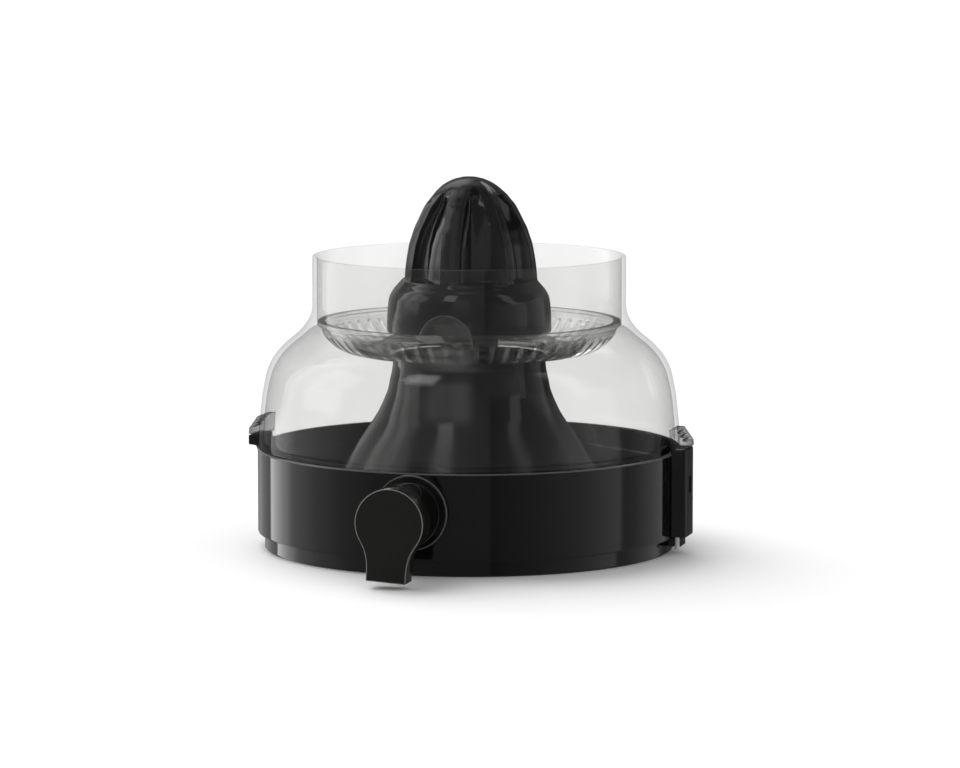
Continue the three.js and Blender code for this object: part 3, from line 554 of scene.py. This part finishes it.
# the hollow underside, turned on the same columns
prev = rows[0]
for r, z in [(37.0, 117.0), (34.0, 121.4), (26.0, 124.6), (23.0, 128.0), (20.0, 140.0), (15.0, 152.0), (8.0, 161.0)]:
    row = []
    for j in range(n):
        x, y, _ = verts[prev[j]]
        a = math.atan2(y, x)
        row.append(len(verts))
        verts.append((r * math.cos(a) * MM, r * math.sin(a) * MM, z * MM))
    for j in range(n):
        k = (j + 1) % n
        faces.append([prev[k], prev[j], row[j], row[k]])
    prev = row
tip = len(verts)
verts.append((0, 0, 163 * MM))
for j in range(n):
    faces.append([prev[(j + 1) % n], prev[j], tip])
cone = link("reaming_cone_body", verts, faces, 28)
own(cone, "gloss_black", "reaming_cone", "reamer", mat="cone_black")
# the rib lands between the flutes get the lighter black, a painted sheen
edge_faces(cone, "rib_highlight", lambda n, c: c.z > 0.1292 and n.z > -0.2 and math.hypot(c.x, c.y) > 0.004 and abs((math.degrees(math.atan2(c.y, c.x)) - FAZ) % pitch - pitch / 2) < math.degrees(RIB / (1000 * math.hypot(c.x, c.y))))
tube = lathe("reamer_inner_tube", [(10.8, 107.3), (11.1, 107), (13.3, 107), (13.6, 107.3), (13.6, 156), (10.8, 159)], 64)
own(tube, "gloss_black", "reaming_cone", mat="cone_black")

# ------------------------------------------------------------------ drip stop
a0, tip_z = -0.56, 3.2 - 30.2
LR, TW = 16.1, 9.4


def bez(p0, p1, p2, p3, n):
    return [tuple((1 - t) ** 3 * a + 3 * (1 - t) ** 2 * t * b + 3 * (1 - t) * t * t * c + t**3 * d for a, b, c, d in zip(p0, p1, p2, p3)) for t in [i / n for i in range(n + 1)]]


right = bez((TW, tip_z), (TW, tip_z + 9.5), (TW + 0.3, tip_z + 12.5), (LR * math.cos(a0), LR * math.sin(a0)), 24)
arc = [(LR * math.cos(t), LR * math.sin(t)) for t in np.linspace(a0, math.pi - a0, 72)][1:-1]
left = [(-x, z) for x, z in right][::-1]
ct, st = math.cos(rad(-3.5)), math.sin(rad(-3.5))
keyhole = [(x * ct - z * st, x * st + z * ct + 30.2) for x, z in right + arc + left]
lever = prism("drip_stop_lever", keyhole, -139.2, -128.2, "Y", bevel=0.45, angle=30)
own(lever, "gloss_black", "drip_stop", "spout_lever", mat="lever_black")
# the lever's bevels that face the front get the lighter grey, a painted highlight outline
edge_faces(lever, "edge_highlight", lambda n, c: 0.45 < -n.y < 0.985)
barrel = lathe("drip_stop_barrel", [(13.0, 104.0), (15.1, 104.0), (15.4, 104.3), (15.4, 129.4), (13.0, 129.4)], 96, "-Y", at=(0, 0, 30.2))
hole = lathe("hole", [(0, 10), (6.6, 10), (6.6, 30.2), (0, 30.2)], 48, at=(0, -117.6, 0))
cut(barrel, hole)
own(barrel, "gloss_black", "drip_stop", mat="barrel_black")

# ------------------------------------------------------------------ interlock bracket
c = 2.2
def corner(cx, cy, a1, a2, r=c, n=8):
    return [(cx + r * math.cos(t), cy + r * math.sin(t)) for t in np.linspace(rad(a1), rad(a2), n)]
plan = [(101.0, -W)] + corner(108.7 - c, -W + c, -90, 0) + corner(108.7 - c, W - c, 0, 90) + [(101.0, W)]
bracket = prism("bracket_body", plan, 8.9, 50.7, "Z", bevel=0.3)
drum_cut = lathe("dc", [(0, 0), (101.9, 0), (101.9, 60), (0, 60)], 256)
hollow = prism("hollow", [(90, -7.3), (107.1, -7.3), (107.1, 7.3), (90, 7.3)], 12.6, 60, "Z")
slot_cut = prism("slotcut", [(100, -1.9), (110, -1.9), (110, 1.9), (100, 1.9)], 29.5, 37.5, "Z")
pin_cut = lathe("pc", [(0, 5), (1.4, 5), (1.4, 14), (0, 14)], 32, at=(103.8, -5.3, 0))
cut(bracket, drum_cut, hollow, slot_cut, pin_cut)
own(bracket, "gloss_black", "housing", "interlock_bracket")
foot = prism("bracket_foot", [(97.0, -3.0), (105.0, -3.0), (105.0, 7.6), (97.0, 7.6)], 3.6, 9.3, "Z", bevel=0.4)
fc = lathe("fc", [(0, 0), (98.6, 0), (98.6, 7.4), (101.9, 7.4), (101.9, 20), (0, 20)], 256)
cut(foot, fc)
own(foot, "gloss_black", "housing")

# the return spring under the rod: four turns of round wire, fixed in shape here; the real one closes up as the rod goes
# down
verts, faces, STEPS, SIDES, WIRE = [], [], 96, 10, 0.2
for i in range(STEPS + 1):
    t = i / STEPS
    a = 8 * math.pi * t
    radial = Vector((math.cos(a), math.sin(a), 0))
    along = Vector((-1.58 * 8 * math.pi * math.sin(a), 1.58 * 8 * math.pi * math.cos(a), 6.6)).normalized()
    side = along.cross(radial)
    mid_wire = Vector((103.8, -5.3, 13.2 + 6.6 * t)) + radial * 1.58
    for j in range(SIDES):
        b = 2 * math.pi * j / SIDES
        verts.append((mid_wire + (radial * math.cos(b) + side * math.sin(b)) * WIRE) * MM)
for i in range(STEPS):
    for j in range(SIDES):
        k = (j + 1) % SIDES
        faces.append([i * SIDES + j, i * SIDES + k, (i + 1) * SIDES + k, (i + 1) * SIDES + j])
faces += [list(range(SIDES)), list(range(STEPS * SIDES, (STEPS + 1) * SIDES))]
spring = link("interlock_return_spring", verts, faces, 40)
own(spring, "steel", "housing", "interlock_spring")
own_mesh(spring)

# ------------------------------------------------------------------ floor and light
def emitter(name, size, loc, target, power, color=(1, 1, 1), shape="RECTANGLE"):
    ld = bpy.data.lights.new(name, "AREA")
    ld.shape, ld.size, ld.size_y, ld.energy, ld.color = shape, size[0], size[1], power, color
    lo = bpy.data.objects.new(name, ld)
    scene.collection.objects.link(lo)
    lo.location = loc
    lo.rotation_mode = "QUATERNION"
    lo.rotation_quaternion = (Vector(target) - Vector(loc)).to_track_quat("-Z", "Y")
    return lo


def around(az, dist, z):
    """A point at an azimuth round the axis, 0 at the camera, positive to the camera's right."""
    a = AZ + rad(az)
    return (math.sin(a) * dist, -math.cos(a) * dist, z)


fm = bpy.data.meshes.new("floor")
fm.from_pydata([(-14, -14, 0), (14, -14, 0), (14, 14, 0), (-14, 14, 0)], [], [(0, 1, 2, 3)])
floor = bpy.data.objects.new("floor", fm)
scene.collection.objects.link(floor)
fmat = bpy.data.materials.new("pale_floor")
fmat.use_nodes = True
floor.data.materials.append(fmat)
fb = floor.data.materials[0].node_tree.nodes["Principled BSDF"]
fb.inputs["Base Color"].default_value = (0.84, 0.84, 0.845, 1)
fb.inputs["Roughness"].default_value = 1.0
fb.inputs["Specular IOR Level"].default_value = 0.0
fb.inputs["Emission Color"].default_value = (1, 1, 1, 1)
fb.inputs["Emission Strength"].default_value = 0.075
floor.visible_glossy = False

world = bpy.data.worlds.new("world")
scene.world = world
world.use_nodes = True
bg = world.node_tree.nodes["Background"]
bg.inputs["Color"].default_value = (1, 1, 1, 1)
bg.inputs["Strength"].default_value = 1.0
world.cycles_visibility.diffuse = False
world.cycles_visibility.glossy = False

# the softboxes and dark flats that the glossy plastic mirrors, as one lit dome round the set:
# light by azimuth (0 at the camera, positive to its right) for the level part
LEVEL = [(-180, 0.12), (-168, 0.2), (-160, 0.5), (-156, 0.54), (-148, 0.45), (-143, 0.45), (-136, 0.39), (-135.2, 2.75), (-133, 2.75), (-129, 2.4), (-124.5, 2.1), (-120, 1.7),
         (-115, 1.45), (-111, 0.95), (-108, 0.86), (-96, 0.70), (-90, 0.56), (-82, 0.50), (-72, 0.33), (-50, 0.20), (-16, 0.17), (10.6, 0.17), (11.6, 0.07), (17, 0.12),
         (28, 0.15), (39, 0.20), (51, 0.28), (63, 0.37), (76, 0.56), (88, 0.68), (89.5, 0.30), (93, 0.23), (101, 0.29), (108, 0.38), (115, 0.43), (124, 0.48), (130, 0.50), (134, 0.2), (140, 0.08), (180, 0.08)]


def level(az):
    for (a, u), (b, v) in zip(LEVEL, LEVEL[1:]):
        if a <= az <= b:
            return u + (v - u) * (az - a) / (b - a)
    return 0.45


def box_of(az, el, a, e, wa, we, power, soft=5.0):
    da = abs((az - a + 180) % 360 - 180)
    f = lambda d, w: max(0.0, min(1.0, (w - d) / soft + 0.5))
    return power * f(da, wa) * f(abs(el - e), we)


def dome_light(az, el):
    t = max(0.0, min(1.0, (el - 14) / 12))
    if -137 < az < -95:
        lean = -137 + 12.5 * max(0.0, min(1.0, (el + 5) / 4))
        if az < lean:
            return 0.40
        t = max(0.0, min(1.0, (el - 46) / 22))
    side = 0.15 - 0.10 * math.sin(rad(az)) if abs(az) < 120 else 0.14
    v = level(az) * (1 - t) + side * t
    if el < -12:
        k = min(1.0, (-12 - el) / 26)
        v = v * (1 - k) + 0.24 * k
        v -= 0.21 * max(0.0, min(1.0, (-46 - el) / 5))
    if el > 72:
        k = min(1.0, (el - 72) / 8)
        v = v * (1 - k) + k * (0.40 - 0.36 * math.sin(rad(az)))
    v += box_of(az, el, -38, 56, 12, 8, 1.6, 3)
    v += box_of(az, el, 70, 38, 8, 22, 0.75, 5)
    v += box_of(az, el, -92, 24, 15, 20, 0.9, 5)
    v += box_of(az, el, -156, 50, 26, 15, 1.0, 12)
    v += box_of(az, el, 178, 62, 22, 10, 0.3, 12)
    v += box_of(az, el, 150, 42, 14, 5, 1.6, 2)
    v += box_of(az, el, -12, 30, 13, 22, 0.26, 8)
    return v


dv, df, dc = [], [], []
azs = [-180 + 1.5 * i for i in range(240)]
els = [-75 + 1.5 * i for i in range(110)]
for el in els:
    for az in azs:
        p = around(az, 3.2 * math.cos(rad(el)), 0.08 + 3.2 * math.sin(rad(el)))
        dv.append(p)
        dc.append(dome_light(az, el))
na = len(azs)
for i in range(len(els) - 1):
    for j in range(na):
        k = (j + 1) % na
        df.append((i * na + j, i * na + k, (i + 1) * na + k, (i + 1) * na + j))
dv.append((0, 0, 3.28))
dc.append(0.25)
for j in range(na):
    df.append(((len(els) - 1) * na + j, (len(els) - 1) * na + (j + 1) % na, len(dv) - 1))
dm = bpy.data.meshes.new("reflection_dome")
dm.from_pydata(dv, [], df)
glow = dm.attributes.new("glow", "FLOAT", "POINT")
glow.data.foreach_set("value", dc)
dome = bpy.data.objects.new("reflection_dome", dm)
scene.collection.objects.link(dome)
mt = bpy.data.materials.new("reflection_dome")
mt.use_nodes = True
b = mt.node_tree.nodes["Principled BSDF"]
b.inputs["Base Color"].default_value = (0, 0, 0, 1)
b.inputs["Specular IOR Level"].default_value = 0
b.inputs["Emission Color"].default_value = (1, 1, 1, 1)
at = mt.node_tree.nodes.new("ShaderNodeAttribute")
at.attribute_name = "glow"
mt.node_tree.links.new(at.outputs["Fac"], b.inputs["Emission Strength"])
dm.materials.append(mt)
dome.visible_camera = False
dome.visible_transmission = False
dome.visible_diffuse = False
dome.visible_shadow = False


def soft_sun(name, az, el, angle, power):
    ld = bpy.data.lights.new(name, "SUN")
    ld.angle, ld.energy = rad(angle), power
    lo = bpy.data.objects.new(name, ld)
    scene.collection.objects.link(lo)
    lo.location = around(az, math.cos(rad(el)), math.sin(rad(el)))
    lo.rotation_mode = "QUATERNION"
    lo.rotation_quaternion = (-Vector(lo.location)).to_track_quat("-Z", "Y")
    lo.visible_glossy = False


soft_sun("key", -146, 50, 62, 2.7)
soft_sun("overhead", 0, 90, 150, 1.65)
